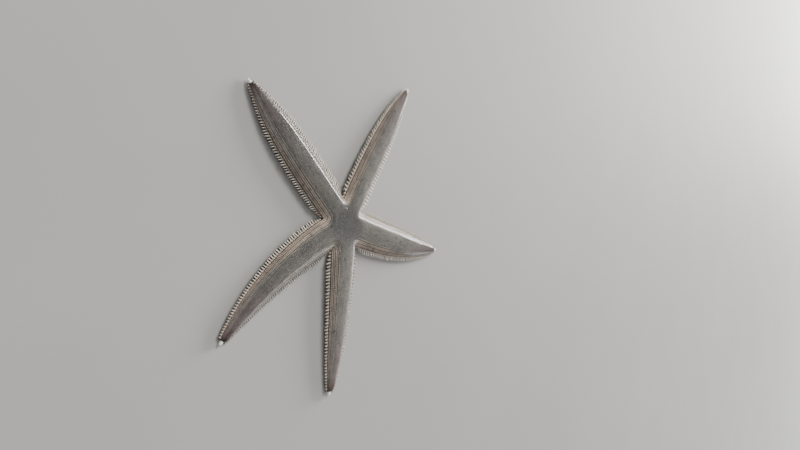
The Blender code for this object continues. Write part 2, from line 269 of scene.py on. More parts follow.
def under_height(points):
    spot = locate(points)
    wide, tall, raised = blended(points)
    edge = np.clip(spot.inside / (wide * SOLE_ROUNDING), 0.0, 1.0)
    rounding = EDGE_BOTTOM * tall * (1.0 - np.sqrt(1.0 - (1.0 - edge) ** 2))
    own = np.array([arm.half_width for arm in ARMS])[spot.arm]
    narrowed = np.array([ARMS[a].half(max(s, 0.0)) for a, s in zip(spot.arm, spot.along)])
    wide_here = np.where(spot.along < FIRST_STATION, own, narrowed)
    groove = np.clip(np.abs(spot.across) / (wide_here * GROOVE_WIDTH), 0.0, 1.0)
    groove = GROOVE_DEPTH * tall * (0.5 + 0.5 * np.cos(math.pi * groove))
    mouth = np.clip(distances(points) / MOUTH_RIM_RADIUS, 0.0, 1.0)
    mouth = MOUTH_ROOF_HEIGHT * (0.5 + 0.5 * np.cos(math.pi * np.clip(mouth * 3.0 - 2.0, 0.0, 1.0)))
    return np.maximum.reduce((rounding, groove, mouth)) + raised


def arc_shares():
    """Surface distance from the margin, as a share of that to the crest, for even plan steps."""
    plan = np.linspace(0.0, 1.0, 201)
    rise = crown(plan) * HEIGHT_TO_HALF_WIDTH
    arc = np.concatenate(((0.0,), np.cumsum(np.hypot(np.diff(plan), np.diff(rise)))))
    return plan, arc / arc[-1], arc[-1]


PLAN_SHARES, ARC_SHARES, CREST_DISTANCE = arc_shares()


def over_surface(plan_share):
    return float(np.interp(plan_share, PLAN_SHARES, ARC_SHARES))


def band_at(points):
    """0 at the margin and 1 on the crest, measured over the surface."""
    return np.interp(locate(points).inside / blended(points)[0], PLAN_SHARES, ARC_SHARES)


def lift_points(points, heights):
    return np.column_stack((points + CENTRE, heights))


# ---------------------------------------------------------------- meshes

def make_piece(name, points, corners, counts, material, slot, values=None, patches=None):
    """A piece of the body from plain arrays: points, and the corners and corner counts of its faces."""
    mesh = bpy.data.meshes.new(name)
    mesh.vertices.add(len(points))
    mesh.loops.add(len(corners))
    mesh.polygons.add(len(counts))
    mesh.vertices.foreach_set("co", np.asarray(points, np.float32).ravel())
    mesh.loops.foreach_set("vertex_index", np.asarray(corners, np.int32))
    starts = np.concatenate(((0,), np.cumsum(counts)[:-1]))
    mesh.polygons.foreach_set("loop_start", starts.astype(np.int32))
    mesh.polygons.foreach_set("use_smooth", np.ones(len(counts), bool))
    mesh.update(calc_edges=True)
    for key, numbers in (values or {}).items():
        kind, member = ("FLOAT_VECTOR", "vector") if np.ndim(numbers) == 2 else ("FLOAT", "value")
        layer = mesh.attributes.new(key, kind, "POINT")
        layer.data.foreach_set(member, np.asarray(numbers, np.float32).ravel())
    if patches is not None:
        layer = mesh.uv_layers.new(name="OFBake")
        layer.uv.foreach_set("vector", np.asarray(patches, np.float32)[corners].ravel())
    mesh.materials.append(material)
    piece = bpy.data.objects.new(name, mesh)
    bpy.context.scene.collection.objects.link(piece)
    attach(piece, BODY)
    return piece


def flattened(faces):
    """The corners of all faces in one row, and how many each face has."""
    return np.array([corner for face in faces for corner in face]), np.array([len(face) for face in faces])


def grid_faces(ids, is_flipped=False):
    """Quads over a grid of points."""
    faces = np.stack((ids[:-1, :-1], ids[1:, :-1], ids[1:, 1:], ids[:-1, 1:]), axis=-1).reshape(-1, 4)
    return faces[:, ::-1] if is_flipped else faces


def level(vectors):
    """Vectors of the ground plan in three dimensions."""
    return np.column_stack((vectors, np.zeros(len(vectors))))


# ---------------------------------------------------------------- skin

DISC_ROWS = 22
NECK_ROWS = 8                  # between the notches and the first square section
ARM_ROWS = 80
COLUMNS = 44
WALL_STEPS = 5


def arm_plan(arm):
    """Ground plan of an arm's part of the skin, row by row; the columns are closer near the margins."""
    shares = np.sin(np.linspace(-0.5, 0.5, COLUMNS + 1) * math.pi)[None, :, None]
    right, left = arm.corners[-1], arm.corners[1]
    root = (right + left) / 2.0 + (left - right) / 2.0 * shares
    disc = np.linspace(0.0, 1.0, DISC_ROWS + 1)[:, None, None] * root
    along = np.linspace(FIRST_STATION, arm.end, ARM_ROWS)
    square = arm.place(along[:, None], arm.half(along)[:, None] * shares[..., 0])
    neck = np.linspace(0.0, 1.0, NECK_ROWS + 1)[1:-1, None, None]
    neck = root * (1.0 - neck) + square[:1] * neck
    return np.concatenate((disc, neck, square))


def build_skin(material):
    """One closed skin over disc and arms: a top and an underside, joined by the upright margins."""
    rows, wide = DISC_ROWS + NECK_ROWS + ARM_ROWS, COLUMNS + 1
    plans = [arm_plan(arm) for arm in ARMS]
    points, under = [], []

    def add(new, is_under):
        first = sum(len(block) for block in points)
        points.append(new)
        under.append(np.full(len(new), float(is_under)))
        return first + np.arange(len(new))

    sheets = {}
    for is_under, height in ((False, top_height), (True, under_height)):
        centre = add(lift_points(np.zeros((1, 2)), height(np.zeros((1, 2)))), is_under)[0]
        for index, plan in enumerate(plans):
            flat = plan.reshape(-1, 2)
            ids = add(lift_points(flat, height(flat)), is_under).reshape(rows, wide)
            ids[0] = centre
            sheets[is_under, index] = ids
        for index in range(len(ARMS)):     # neighbours share the line from the centre to a notch
            shared = sheets[is_under, (index - 1) % len(ARMS)][:DISC_ROWS + 1, -1]
            sheets[is_under, index][:DISC_ROWS + 1, 0] = shared
    walls = {}
    steps = np.linspace(0.0, 1.0, WALL_STEPS + 1)[1:-1]
    for index, plan in enumerate(plans):
        for side, column in ((1, -1), (-1, 0)):
            edge = plan[DISC_ROWS:, column]
            _, tall, raised = blended(edge)
            levels = tall[:, None] * (EDGE_TOP + (EDGE_BOTTOM - EDGE_TOP) * steps) + raised[:, None]
            ids = add(lift_points(np.repeat(edge, len(steps), axis=0), levels.ravel()), False)
            top, bottom = (sheets[is_under, index][DISC_ROWS:, column] for is_under in (False, True))
            walls[index, side] = np.column_stack((top, ids.reshape(len(edge), len(steps)), bottom))
    for index in range(len(ARMS)):
        walls[index, -1][0] = walls[(index - 1) % len(ARMS), 1][0]

    quads = []
    for index in range(len(ARMS)):
        top, bottom = sheets[False, index], sheets[True, index]
        quads += [grid_faces(top), grid_faces(bottom, True), grid_faces(walls[index, 1]),
                  grid_faces(walls[index, -1], True), grid_faces(np.array((top[-1], bottom[-1])))]
    faces = [tuple(dict.fromkeys(face)) for face in np.concatenate(quads)]
    faces = [face for face in faces if len(face) > 2]
    for index in range(len(ARMS)):     # the flat slivers between the end's sides and the walls
        faces += [tuple(walls[index, 1][-1]), tuple(walls[index, -1][-1][::-1])]

    corners, counts = flattened(faces)
    used, corners = np.unique(corners, return_inverse=True)
    points = np.concatenate(points)[used]
    values = {**place_marks(points[:, :2] - CENTRE), "under": np.concatenate(under)[used]}
    skin = make_piece("skin", points, corners, counts, material, "skin", values)
    draw_in(skin, COAT_DEPTH)
    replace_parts(skin, "disc", *(arm.name for arm in ARMS))


def draw_in(piece, depth):
    """Move a closed surface inwards, along its own normals."""
    mesh = piece.data
    count = len(mesh.vertices)
    points, normals = np.empty(count * 3, np.float32), np.empty(count * 3, np.float32)
    mesh.vertices.foreach_get("co", points)
    mesh.vertex_normals.foreach_get("vector", normals)
    mesh.vertices.foreach_set("co", points - normals * depth)
    mesh.update()


TIP_REACH = 12.0 * MM          # the arms darken over this stretch before their end plates


def place_marks(points, band=None):
    """What the markings depend on. "tip" is 0 at an arm's end plate, "out" 0 at the disc's middle."""
    spot = locate(points)
    ends = np.array([arm.end for arm in ARMS])[spot.arm]
    return {"band": band_at(points) if band is None else band,
            "tip": np.clip((ends - spot.along) / TIP_REACH, 0.0, 1.0),
            "out": np.clip(spot.along / ends, 0.0, 1.0),
            "along": spot.along, "across": spot.across, **tone_marks(points)}


# ---------------------------------------------------------------- small solids that grow from the skin

Shape = namedtuple("Shape", "points corners counts heights patch")
PATCH_RADIUS = 0.0015          # of a tuft's patch on the map, whose sides are 1 long


def ring_faces(rings, sides, is_closed_below=False):
    """Quads between rings of points, and fans to the points after them that close one or both ends."""
    ids = np.arange(rings * sides).reshape(rings, sides)
    ids = np.column_stack((ids, ids[:, 0]))
    faces = [(low[j], low[j + 1], high[j + 1], high[j])
             for low, high in zip(ids, ids[1:]) for j in range(sides)]
    faces += [(ids[-1, j], ids[-1, j + 1], rings * sides) for j in range(sides)]
    if is_closed_below:
        faces += [(ids[0, j + 1], ids[0, j], rings * sides + 1) for j in range(sides)]
    return faces


def circle_of(sides):
    angles = np.arange(sides) / sides * 2.0 * math.pi
    return np.column_stack((np.cos(angles), np.sin(angles)))


def closed_shape(rings, end, patch_radii):
    """A solid from rings of points and the point that closes it; each ring is a circle in the patch."""
    sides = len(rings[0])
    points = np.array((*np.concatenate(rings), end))
    patch = [circle_of(sides) * radius for radius in patch_radii]
    return Shape(points, *flattened(ring_faces(len(rings), sides)), np.append(points[:-1, 2], 1.0),
                 np.concatenate((*patch, np.zeros((1, 2)))))


def button_shape(lobes, depth, squareness=0.0, foot=0.74, top=0.70):
    """A paxilla's crown: a lobed outline, narrower where it joins the skin, and a flat granular top."""
    sides = lobes * 2
    circle = circle_of(sides)
    lobed = 1.0 - depth * (np.arange(sides) % 2)
    square = 1.0 / np.maximum(np.abs(circle[:, 0]), np.abs(circle[:, 1])) ** squareness
    outline = circle * square[:, None]
    rings = []
    for radius, up, lobing in ((foot, 0.0, 0.0), (1.0, 0.62, 1.0), (top, 1.0, 0.7)):
        reach = radius * (1.0 - lobing * (1.0 - lobed))
        rings.append(np.column_stack((outline * reach[:, None], np.full(sides, up))))
    return closed_shape(rings, (0.0, 0.0, 0.94), (1.0, 0.7, 0.4))


def peg_shape(sides, rings, bluntness, taper, bend):
    """A spine of unit length with a rounded point, bent sideways along its second axis."""
    points = []
    for ring in range(rings):
        share = 1.0 - (1.0 - ring / (rings - 0.3)) ** 1.4
        radius = (1.0 - share ** bluntness) * (1.0 - taper * share)
        centre = np.array((0.0, bend * share * share))
        points.append(np.column_stack((circle_of(sides) * radius + centre, np.full(sides, share))))
    return closed_shape(points, (0.0, bend, 1.0), 1.0 - np.arange(rings) / rings)


class Growth:
    """Many small solids collected into one mesh."""

    def __init__(self):
        self.points, self.corners, self.counts, self.patches = [], [], [], []
        self.values = {}
        self.size = 0

    def add(self, shape, roots, frames, sizes, marks):
        """Plant a shape at each root, with the axes and sizes given for each."""
        number, each = len(roots), len(shape.points)
        if number == 0:
            return
        placed = roots[:, None] + np.einsum("nij,nj,kj->nki", frames, sizes, shape.points)
        firsts = self.size + np.arange(number) * each
        self.points.append(placed.reshape(-1, 3))
        self.corners.append((firsts[:, None] + shape.corners).ravel())
        self.counts.append(np.tile(shape.counts, number))
        spots = root_patch(roots[:, :2] - CENTRE)
        self.patches.append((spots[:, None] + shape.patch * PATCH_RADIUS).reshape(-1, 2))
        spread_marks = {key: np.repeat(numbers, each, axis=0) for key, numbers in marks.items()}
        for key, numbers in {**spread_marks, "up": np.tile(shape.heights, number)}.items():
            self.values.setdefault(key, []).append(numbers)
        self.size += number * each

    def finish(self, name, material, slot):
        values = {key: np.concatenate(parts) for key, parts in self.values.items()}
        arrays = map(np.concatenate, (self.points, self.corners, self.counts))
        return make_piece(name, *arrays, material, slot, values, np.concatenate(self.patches))


def root_patch(points):
    """Place of a root on the unwrapped skin of its arm: along it, and over it from side to side."""
    spot = locate(points)
    side = np.sign(spot.across + 1e-9)
    over = 0.5 + 0.48 * side * (1.0 - band_at(points))
    return np.column_stack((0.01 + 0.98 * np.clip(spot.along / MAX_REACH, 0.0, 1.0), over))


def unit_rows(vectors):
    return vectors / np.linalg.norm(vectors, axis=1)[:, None]


def top_normals(points, step=0.05 * MM):
    slopes = [(top_height(points + shift) - top_height(points - shift)) / (2.0 * step)
              for shift in (np.array((step, 0.0)), np.array((0.0, step)))]
    return unit_rows(np.column_stack((-slopes[0], -slopes[1], np.ones(len(points)))))


def frames_on_top(points, headings):
    """Roots on the skin's top, and axes along the heading, to its left and out of the skin."""
    normals = top_normals(points)
    ahead = level(headings)
    ahead = unit_rows(ahead - normals * np.sum(ahead * normals, axis=1)[:, None])
    roots = lift_points(points, top_height(points)) - normals * COAT_DEPTH
    return roots, np.stack((ahead, np.cross(normals, ahead), normals), axis=-1)


# ---------------------------------------------------------------- paxillae

# The rows along each margin: their edges as shares of the half width, counted from the margin, and
# the length of a crown in each where the arm is widest. The small paxillae fill the rest.
ROW_EDGES = (0.045, 0.125, 0.210, 0.300, 0.395, 0.500)
CROWN_LENGTHS = (1.40 * MM, 1.30 * MM, 1.22 * MM, 1.12 * MM, 1.00 * MM)
GRAINS = (4, 4, 4, 3, 3)       # on each crown
GRAIN_PLACE, GRAIN_LEVEL, GRAIN_SIZE = 0.50, 0.78, (0.30, 0.28, 0.40)    # as shares of the crown's size
CROWN_GAP = 0.01 * MM          # between the crowns in a row
ROW_GAP = 0.12 * MM            # between the rows
SEAM_ROOM = (0.0, 0.0, 0.26 * MM, 0.0, 0.30 * MM, 0.0)    # more room at each edge between the rows
FIELD_START = over_surface(ROW_EDGES[-1])
NARROWEST = 0.42               # size of a crown at the arm's end, as a share
FIELD_PITCH = 0.72 * MM
FIELD_JITTER = 0.14            # as a share of the pitch, like the step from row to row
FIELD_ROW_STEP = 0.90
DISC_REACH = 22.0 * MM
SIEVE_ROOM = 1.15 * MM         # radius kept free for the sieve plate
CROWN_HEIGHT = 0.42 * MM
FULL_HALF_WIDTH = 10.0 * MM


def size_share(arm, along):
    """How much smaller the crowns and spines are than where the arm is widest."""
    return NARROWEST + (1.0 - NARROWEST) * np.clip(arm.half(along) / FULL_HALF_WIDTH, 0.0, 1.0)


def side_line(arm, side, share):
    """A line along one side of an arm, from its end to the notch: plan points and crown sizes."""
    along = np.linspace(arm.end - 0.6 * MM, arm.corner_along[side], 260)
    across = side * arm.margin(along, side) * (1.0 - share)
    return arm.place(along, across), size_share(arm, along)


def row_line(index, share):
    """A row's line: in along one arm, round the notch, and out along the next arm."""
    arm, after = ARMS[index], ARMS[(index + 1) % len(ARMS)]
    inward, inward_size = side_line(arm, 1, share)
    outward, outward_size = side_line(after, -1, share)
    corner = arm.corners[1]
    start, end = math.radians(arm.heading + 270.0), math.radians(after.heading + 90.0)
    turn = np.linspace(0.0, 1.0, 40)[1:-1]
    angle = start - (start - end) % (2.0 * math.pi) * turn
    radius = share * (arm.half_width + (after.half_width - arm.half_width) * turn)
    arc = corner + np.column_stack((np.cos(angle), np.sin(angle))) * radius[:, None]
    return (np.concatenate((inward, arc, outward[::-1])),
            np.concatenate((inward_size, np.ones(len(arc)), outward_size[::-1])))


def spaced(line, sizes, pitch):
    """Points along a line, a pitch apart that shrinks with the size there, with headings and sizes."""
    lengths = np.linalg.norm(np.diff(line, axis=0), axis=1)
    counts = np.concatenate(((0.0,), np.cumsum(lengths / (pitch * (sizes[1:] + sizes[:-1]) / 2.0))))
    places = np.arange(0.5, counts[-1])
    points, ahead, behind = (np.column_stack([np.interp(places + shift, counts, part) for part in line.T])
                             for shift in (0.0, 0.3, -0.3))
    return points, unit_rows(ahead - behind), np.interp(places, counts, sizes)


FILM_STEP = 0.3 * MM           # the film of water is level over this distance


def tuft_marks(points, chance, band=None):
    return {**place_marks(points, band), "tint": chance.random(len(points)),
            "film": top_normals(points, FILM_STEP)}


def picked(marks, own):
    return {key: numbers[own] for key, numbers in marks.items()}


def plant_by_arm(prefix, batches, material, slot):
    """Give each arm its own piece, with the small solids whose roots lie on it."""
    growths = [Growth() for _ in ARMS]
    for shape, roots, frames, sizes, marks in batches:
        owner = locate(roots[:, :2] - CENTRE).arm
        for index, growth in enumerate(growths):
            own = owner == index
            growth.add(shape, roots[own], frames[own], sizes[own], picked(marks, own))
    for arm, growth in zip(ARMS, growths):
        growth.finish(f"{prefix}_{arm.name}", material, slot)


def build_rows(material):
    """The large squarish paxillae in regular rows along both sides of every arm."""
    chance = np.random.default_rng(11)
    crown_shape = button_shape(6, 0.06, 0.85, 0.85, 0.80)
    grain = peg_shape(5, 2, 3.0, 0.0, 0.0)
    batches = []
    over = CREST_DISTANCE * FULL_HALF_WIDTH
    for number, (length, grains) in enumerate(zip(CROWN_LENGTHS, GRAINS)):
        near = over_surface(ROW_EDGES[number]) + SEAM_ROOM[number] / 2.0 / over
        far = over_surface(ROW_EDGES[number + 1]) - SEAM_ROOM[number + 1] / 2.0 / over
        band = (near + far) / 2.0
        middle = float(np.interp(band, ARC_SHARES, PLAN_SHARES))
        width = (far - near) * over - ROW_GAP
        for index in range(len(ARMS)):
            line, line_sizes = row_line(index, middle)
            points, headings, sizes = spaced(line, line_sizes, length + CROWN_GAP)
            roots, frames = frames_on_top(points, headings)
            marks = tuft_marks(points, chance, np.full(len(points), band))
            jitter = chance.uniform(0.93, 1.04, (2, len(points)))
            extent = np.column_stack((sizes * length / 2.0 * jitter[0], sizes * width / 2.0 * jitter[1],
                                      CROWN_HEIGHT * (0.6 + 0.4 * sizes)))
            batches.append((crown_shape, roots, frames, extent, marks))
            for j in range(grains):
                angle = (j + chance.uniform(-0.25, 0.25, len(points))) / grains * 2.0 * math.pi
                shares = (np.cos(angle), np.sin(angle), np.full(len(points), GRAIN_LEVEL / GRAIN_PLACE))
                shift = (frames * (np.column_stack(shares) * extent * GRAIN_PLACE)[:, None]).sum(axis=2)
                batches.append((grain, roots + shift, frames, extent * GRAIN_SIZE, marks))
    plant_by_arm("rows", batches, material, "skin")


def field_points(chance):
    """Roots of the small paxillae: staggered rows across each arm, and a staggered grid on the disc."""
    points, headings, sizes = [], [], []
    for arm in ARMS:
        along = FIRST_STATION - 3.0 * MM
        number = 0
        while along < arm.end - 0.4 * MM:
            size = float(size_share(arm, along))
            pitch = FIELD_PITCH * size
            half = float(arm.half(along)) * (1.0 - ROW_EDGES[-1])
            count = max(1, int(round(2.0 * half / pitch)))
            across = (np.arange(count) + 0.5) / count * 2.0 * half - half
            across = across + (number % 2 - 0.5) * 0.3 * pitch
            jitter = chance.uniform(-FIELD_JITTER, FIELD_JITTER, (count, 2)) * pitch
            points.append(arm.place(along + jitter[:, 0], across + jitter[:, 1]))
            headings.append(np.repeat(arm.axis(along)[1][None], count, axis=0))
            sizes.append(np.full(count, size))
            along += pitch * FIELD_ROW_STEP
            number += 1
    steps = np.arange(-DISC_REACH, DISC_REACH, FIELD_PITCH * FIELD_ROW_STEP)
    x, y = np.meshgrid(steps, steps)
    x[::2] += FIELD_PITCH * FIELD_ROW_STEP / 2.0
    grid = np.column_stack((x.ravel(), y.ravel()))
    grid += chance.uniform(-FIELD_JITTER, FIELD_JITTER, grid.shape) * FIELD_PITCH
    spot = locate(grid)
    wanted = (spot.along < FIRST_STATION - 3.3 * MM) & (spot.inside > 1.0 * MM)
    wanted &= (band_at(grid) > FIELD_START) & (distances(grid, SIEVE) > SIEVE_ROOM)
    grid = grid[wanted]
    turn = chance.uniform(0.0, 2.0 * math.pi, len(grid))
    return (np.concatenate((*points, grid)),
            np.concatenate((*headings, np.column_stack((np.cos(turn), np.sin(turn))))),
            np.concatenate((*sizes, np.ones(len(grid)))))


def build_field(material):
    """The small round paxillae along the middle of the arms and over the disc."""
    chance = np.random.default_rng(23)
    points, headings, sizes = field_points(chance)
    number = len(points)
    spin = chance.uniform(0.0, 2.0 * math.pi, number)[:, None]
    roots, frames = frames_on_top(points, headings * np.cos(spin) + left_of(headings) * np.sin(spin))
    radius = sizes * FIELD_PITCH * 0.5 * chance.uniform(0.86, 1.04, number)
    extent = np.column_stack((radius, radius, CROWN_HEIGHT * sizes * chance.uniform(0.85, 1.1, number)))
    marks = tuft_marks(points, chance)
    kind = chance.integers(0, 2, number)
    batches = []
    for own, shape in ((kind == 0, button_shape(5, 0.22)), (kind == 1, button_shape(5, 0.14))):
        batches.append((shape, roots[own], frames[own], extent[own], picked(marks, own)))
    plant_by_arm("paxillae", batches, material, "skin")


# ---------------------------------------------------------------- margins

SPINE_PITCH = 1.62 * MM
SPINE_LENGTH = 3.8 * MM
SPINE_SHORTENING = 0.7         # share of its length that a spine loses towards the arm's tip
SPINE_LEANS = (0.38, 0.22, 0.05, -0.08, 0.60)    # how much the spines of each arm lean towards its tip
SPINE_SPACINGS = (1.0, 1.24, 1.0, 1.42, 1.0)      # pitch of each arm's spines beside the usual
SPINE_WIDTHS = (1.0, 1.0, 1.0, 1.42, 1.0)         # and their width
NOTCH_ROOM = 0.54              # longest spine near a notch, as a share of its distance from it
PLATE_LEVEL = 0.315            # middle and half height of a marginal plate, as shares of the height
PLATE_HALF_HEIGHT = 0.122
PLATE_RELIEF = 0.22 * MM       # how far the plates stand out
PLATE_HALF_LENGTH = 0.47       # as a share of the pitch
SPINE_SWAY = 0.05              # how much the spines' lean and rise vary


def margin_spots(arm, side, pitch):
    """One spot for each marginal plate on one side of an arm, from the notch to the end."""
    spots, along = [], arm.corner_along[side] + 1.2 * MM
    while along < arm.end - 0.3 * MM:
        spots.append(along)
        along += pitch * (0.80 + 0.20 * float(arm.half(along)) / arm.half_width)
    return np.array(spots)


def spine_frames(directions, widths):
    """Axes of spines: across their width, across their thickness, and along them."""
    along = unit_rows(directions)
    thick = unit_rows(np.cross(along, widths))
    thick *= np.where(thick[:, 2:] < 0.0, -1.0, 1.0)
    return np.stack((np.cross(thick, along), thick, along), axis=-1)


# Each kind of spine on a marginal plate: height of its root as a share of the body's height, how much
# it rises, length as a share of the main one, half width and half thickness in mm, its shift along the
# arm in plates, and how many mm inwards it stands. The dark ones are a close fringe under the comb,
# painted shade in the gaps between the pale spines.
Spine = namedtuple("Spine", "height rise length half_width half_thickness shift inset is_pale")
SPINES = (
    Spine(0.34, 0.22, 1.00, 0.41, 0.30, 0.0, 0.20, True),
    Spine(0.15, -0.06, 0.45, 0.27, 0.20, 0.0, 0.25, True),
    Spine(0.27, 0.15, 0.74, 0.33, 0.14, 0.17, 0.25, False),
    Spine(0.27, 0.15, 0.80, 0.33, 0.14, 0.50, 0.25, False),
    Spine(0.27, 0.15, 0.74, 0.33, 0.14, 0.83, 0.25, False),
    Spine(0.10, -0.04, 0.44, 0.40, 0.20, 0.5, 0.25, False),
    Spine(0.42, 0.75, 0.20, 0.19, 0.15, 0.19, 0.15, True),
    Spine(0.42, 0.80, 0.18, 0.19, 0.15, -0.19, 0.15, True),
)


def build_margins(plate_material, spine_material, shade_fringe_material):
    """The pale marginal plates, the comb of spines that they carry and the dark fringe under it, which is
    painted shade in the gaps between the spines.
    """
    chance = np.random.default_rng(37)
    main, small = peg_shape(8, 6, 3.6, 0.42, 0.7), peg_shape(5, 4, 5.0, 0.35, 0.5)
    plate = button_shape(6, 0.06, 0.9, 1.0, 0.62)
    plates, spines, fringe = [], [], []
    for arm, usual_lean, spacing, widening, shades in zip(
            ARMS, SPINE_LEANS, SPINE_SPACINGS, SPINE_WIDTHS, COMB_SHADES):
        pitch = SPINE_PITCH * spacing
        for side in (1, -1):
            along = margin_spots(arm, side, pitch)
            number = len(along)
            edge, ahead = arm.axis(along)
            outward = side * left_of(ahead)
            edge = edge + outward * arm.margin(along, side)[:, None]
            room = distances(edge, arm.corners[side]) * NOTCH_ROOM
            longest = SPINE_LENGTH * (1.0 - SPINE_SHORTENING * (1.0 - arm.share(along)))
            longest = np.minimum(longest, room)
            tall, raised = arm.high(along), arm.raised(along)
            scale = np.clip(longest / SPINE_LENGTH, 0.35, 1.0) ** 0.5
            step = pitch * np.clip(scale, 0.8, 1.0)
            # the second mark is painted shade that darkens this side's plates, spines and fringe
            marks = {"tint": chance.random(number), "comb_shade": np.full(number, shades[side > 0])}
            ahead3, out3 = level(ahead), level(outward)
            frames = np.stack((ahead3, np.cross(out3, ahead3), out3), axis=-1)
            roots = lift_points(edge - outward * COAT_DEPTH, tall * PLATE_LEVEL + raised)
            extent = np.column_stack((PLATE_HALF_LENGTH * step, tall * PLATE_HALF_HEIGHT,
                                      np.full(number, COAT_DEPTH + PLATE_RELIEF)))
            plates.append((plate, roots, frames, extent, marks))
            for kind in SPINES:
                lean = usual_lean + chance.normal(0.0, SPINE_SWAY, number)
                reach = longest * kind.length * chance.uniform(0.90, 1.06, number) * np.hypot(1.0, lean)
                rise = kind.rise + chance.normal(0.0, SPINE_SWAY, number)
                direction = out3 + np.outer(rise, (0.0, 0.0, 1.0)) + ahead3 * lean[:, None]
                start = edge - outward * kind.inset * MM + ahead * (kind.shift * step)[:, None]
                roots = lift_points(start, tall * kind.height + raised)
                extent = np.column_stack((kind.half_width * MM * widening * scale,
                                          kind.half_thickness * MM * scale, reach))
                (spines if kind.is_pale else fringe).append(
                    (main if kind.length == 1.0 else small, roots, spine_frames(direction, ahead3),
                     extent, marks))
    plant_by_arm("margin_plates", plates, plate_material, "plate")
    plant_by_arm("spines", spines, spine_material, "plate")
    plant_by_arm("fringe", fringe, shade_fringe_material, "skin")


# ---------------------------------------------------------------- underside

FOOT_PITCH = 1.9 * MM
FOOT_PLACE, FOOT_THICKNESS = 0.13, 0.062    # across the arm, as shares of its half width
SOLE_SPINE_HALF_THICKNESS = 0.13 * MM
SOLE_SWAY = 0.12               # how much the feet and the small spines vary in direction
FURROW_PITCH = 1.15 * MM
UNDERSIDE_START = 7.0 * MM     # the rows under an arm begin this far from the middle of the disc
SOLE_LEVEL = COAT_DEPTH + 0.10 * MM

# Spines beside a groove, on each of its plates: place across as a share of the half width, how much
# they point outwards, up and ahead, their length and their half width.
FURROW_SPINES = (
    (0.370, -1.0, -0.12, 0.00, 1.10 * MM, 0.19 * MM),
    (0.375, 1.0, -0.20, 0.55, 1.15 * MM, 0.22 * MM),
    (0.430, 1.0, -0.20, -0.30, 0.95 * MM, 0.22 * MM),
)
SCALE_SIZE = (1.05 * MM, 0.29 * MM)         # length and half width
SCALE_PLACES = (0.53, 0.60, 0.67, 0.74, 0.81, 0.88)
SCALE_SHIFTS = (-0.23, 0.23)   # two cross rows of scales to each marginal plate, as shares of the pitch


def under_frames(arm, side, along, place, outwards, rise, lean):
    """Roots on the sole of one side of an arm, and the axes of small spines that grow there."""
    ahead = arm.axis(along)[1]
    points = arm.place(along, side * arm.half(along) * place)
    ahead3, out3 = level(ahead), level(side * left_of(ahead))
    direction = (out3 * np.reshape(outwards, (-1, 1)) + ahead3 * np.reshape(lean, (-1, 1))
                 + (0.0, 0.0, rise))
    return points, lift_points(points, arm.raised(along) + SOLE_LEVEL), spine_frames(direction, ahead3)


def build_underside(plate_material, foot_material):
    """The pointed feet in the grooves, the spines along them and the scales on the sole."""
    chance = np.random.default_rng(51)
    foot, spine = peg_shape(6, 5, 2.6, 0.35, 0.25), peg_shape(5, 3, 5.0, 0.35, 0.4)
    feet, spines = [], []
    for index, arm in enumerate(ARMS):
        for side in (1, -1):
            along = np.arange(UNDERSIDE_START + 1.0 * MM, arm.end - 1.0 * MM, FOOT_PITCH)
            tilt = chance.normal(0.0, SOLE_SWAY, (2, len(along)))
            _, roots, frames = under_frames(arm, side, along, FOOT_PLACE, 0.15 + tilt[0], -1.0, tilt[1])
            roof = GROOVE_DEPTH * arm.high(along) + COAT_DEPTH
            roots[:, 2] = roof + arm.raised(along)
            thick = FOOT_THICKNESS * arm.half(along)
            extent = np.column_stack((thick, thick, roof - 0.10 * MM))
            feet.append((foot, roots, frames, extent, {"tint": chance.random(len(along))}))
            furrow = np.arange(UNDERSIDE_START, arm.end - 0.8 * MM, FURROW_PITCH)
            kinds = [(furrow, *kind) for kind in FURROW_SPINES]
            band = np.arange(UNDERSIDE_START, arm.end - 0.8 * MM, SPINE_PITCH)
            kinds += [(band + shift * SPINE_PITCH, place, 1.0, -0.20, 0.0, *SCALE_SIZE)
                      for place in SCALE_PLACES for shift in SCALE_SHIFTS]
            for along, place, outwards, rise, lean, length, half_width in kinds:
                lean = lean + chance.normal(0.0, SOLE_SWAY, len(along))
                points, roots, frames = under_frames(arm, side, along, place, outwards, rise, lean)
                spot = locate(points)
                own = ((spot.arm == index) & (spot.inside > 0.6 * MM)
                       & (distances(points) > MOUTH_RIM_RADIUS + 1.2 * MM))
                size = arm.half(along) / FULL_HALF_WIDTH * 0.75 + 0.25
                size = size * chance.uniform(0.9, 1.1, len(along))
                extent = size[:, None] * np.array((half_width, SOLE_SPINE_HALF_THICKNESS, length))
                marks = {"tint": chance.random(len(along))}
                spines.append((spine, roots[own], frames[own], extent[own], picked(marks, own)))
    plant_by_arm("feet", feet, foot_material, "mouth")
    plant_by_arm("sole_spines", spines, plate_material, "plate")


MOUTH_SIDES = 40
# The ring round the mouth from its hidden top, out, down and into the opening: radius and height in mm.
MOUTH_PROFILE = ((3.9, mouth_box[1].z / MM), (4.1, 1.7), (3.6, 1.15), (2.9, 0.95), (2.1, 1.05),
                 (1.45, 1.15), (0.95, 1.45), (0.75, 1.9), (0.70, 2.15))
MOUTH_OPENING = (1.6 * MM, 1.15 * MM, 0.6 * MM)    # its radius, its edge's height, and where its painted shade is darkest
JAW_SPINES = 7                 # on each side of a jaw
JAW_START, JAW_LENGTH = 3.4 * MM, 3.2 * MM


